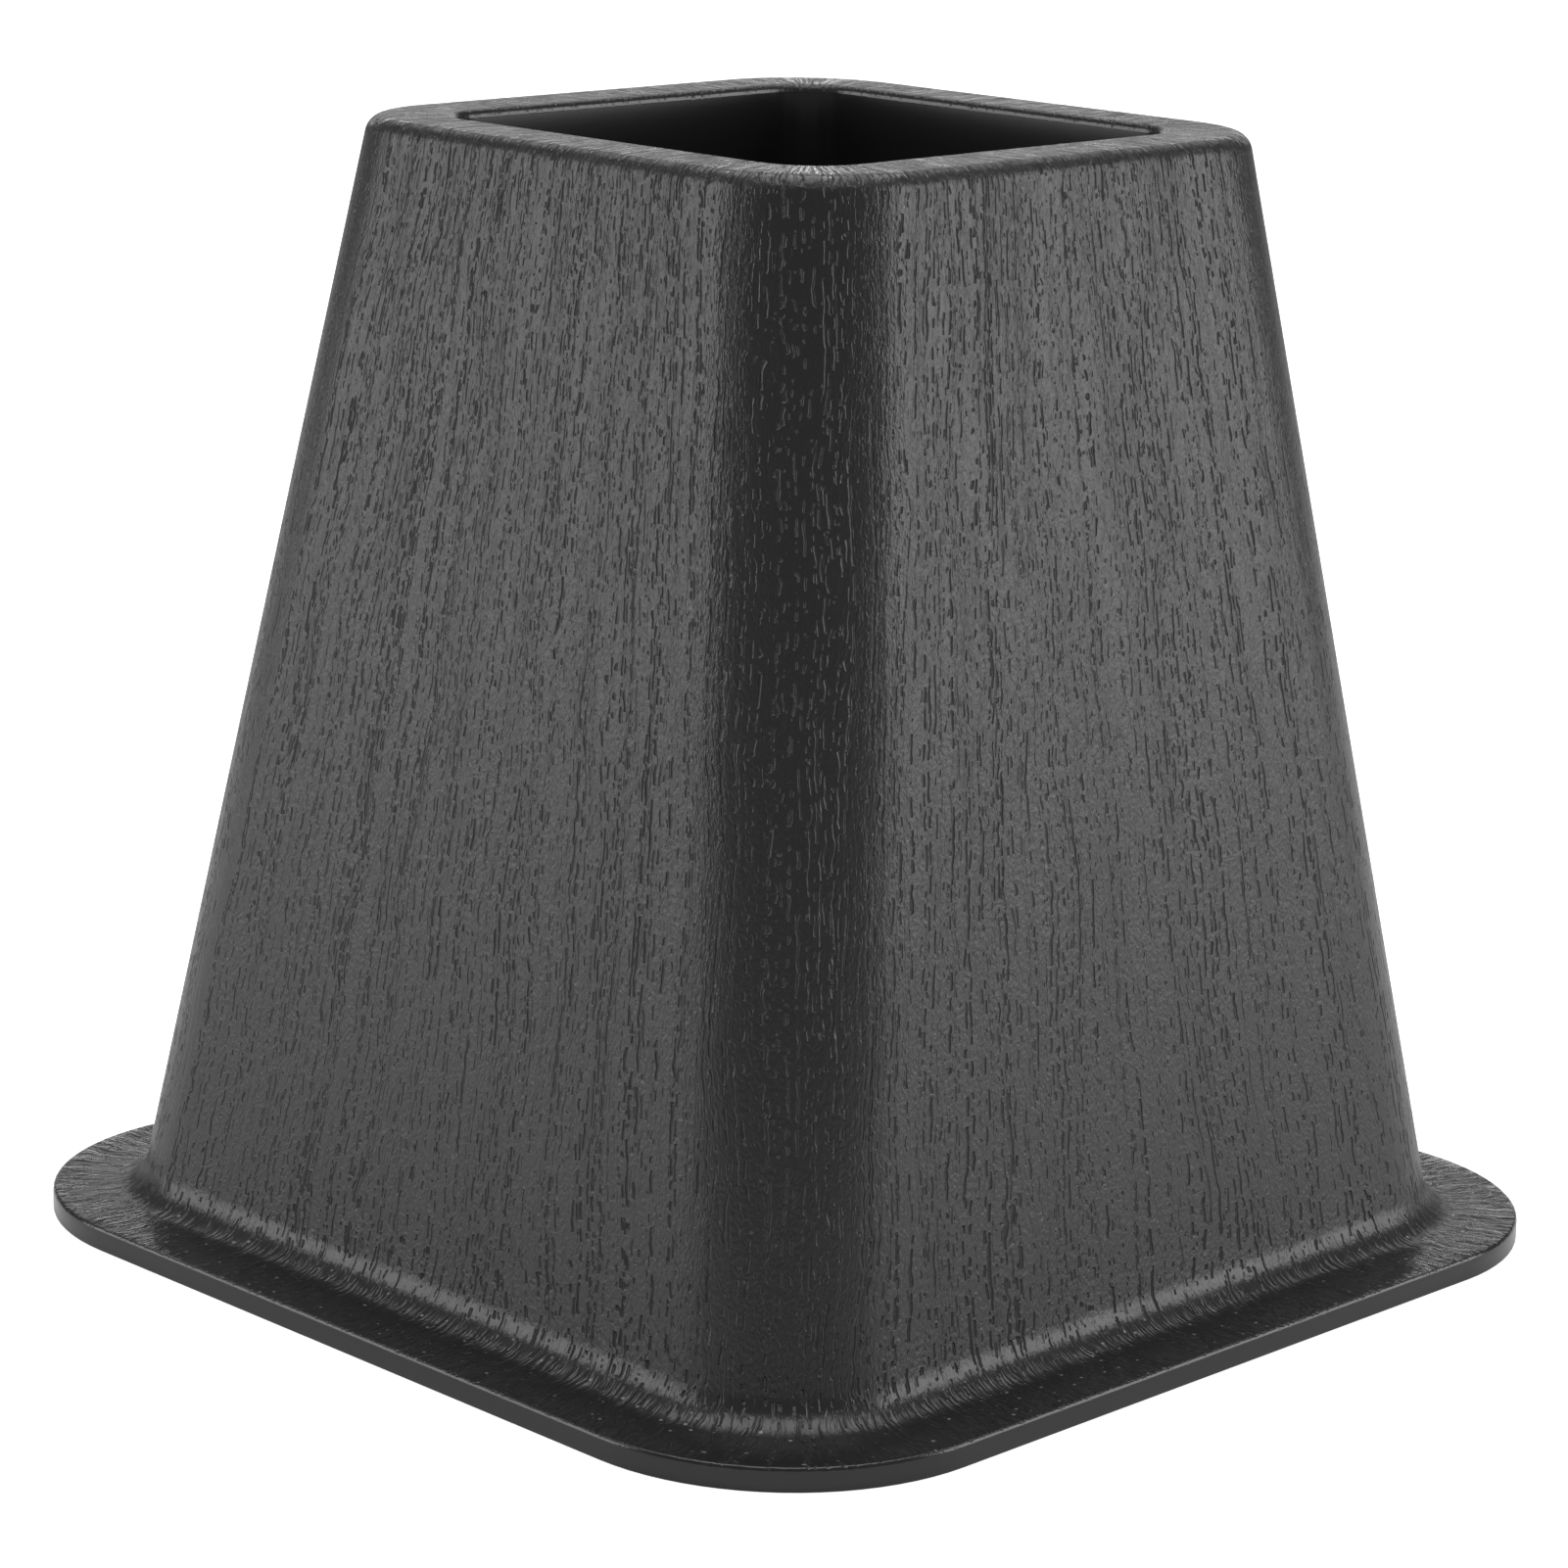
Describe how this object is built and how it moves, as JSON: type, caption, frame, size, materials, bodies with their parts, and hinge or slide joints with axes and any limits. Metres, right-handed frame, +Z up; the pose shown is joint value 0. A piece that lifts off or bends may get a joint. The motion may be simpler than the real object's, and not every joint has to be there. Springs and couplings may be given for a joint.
{
  "type": "bed riser",
  "caption": "Square tapered bed riser, hollow below, with a flange round its foot and a square recess in its flat top that holds a furniture leg.",
  "frame": {"origin": "on the floor, under the middle of the riser", "axes": "+Z up along the riser's axis of symmetry, X and Y square to its flat sides"},
  "size_m": [0.163, 0.163, 0.1524],
  "materials": {
    "black_plastic": "satin black moulded plastic with an embossed wood grain outside, smooth in the recess and underneath"
  },
  "bodies": {
    "root": {"bed_riser": "black_plastic"}
  },
  "joints": []
}
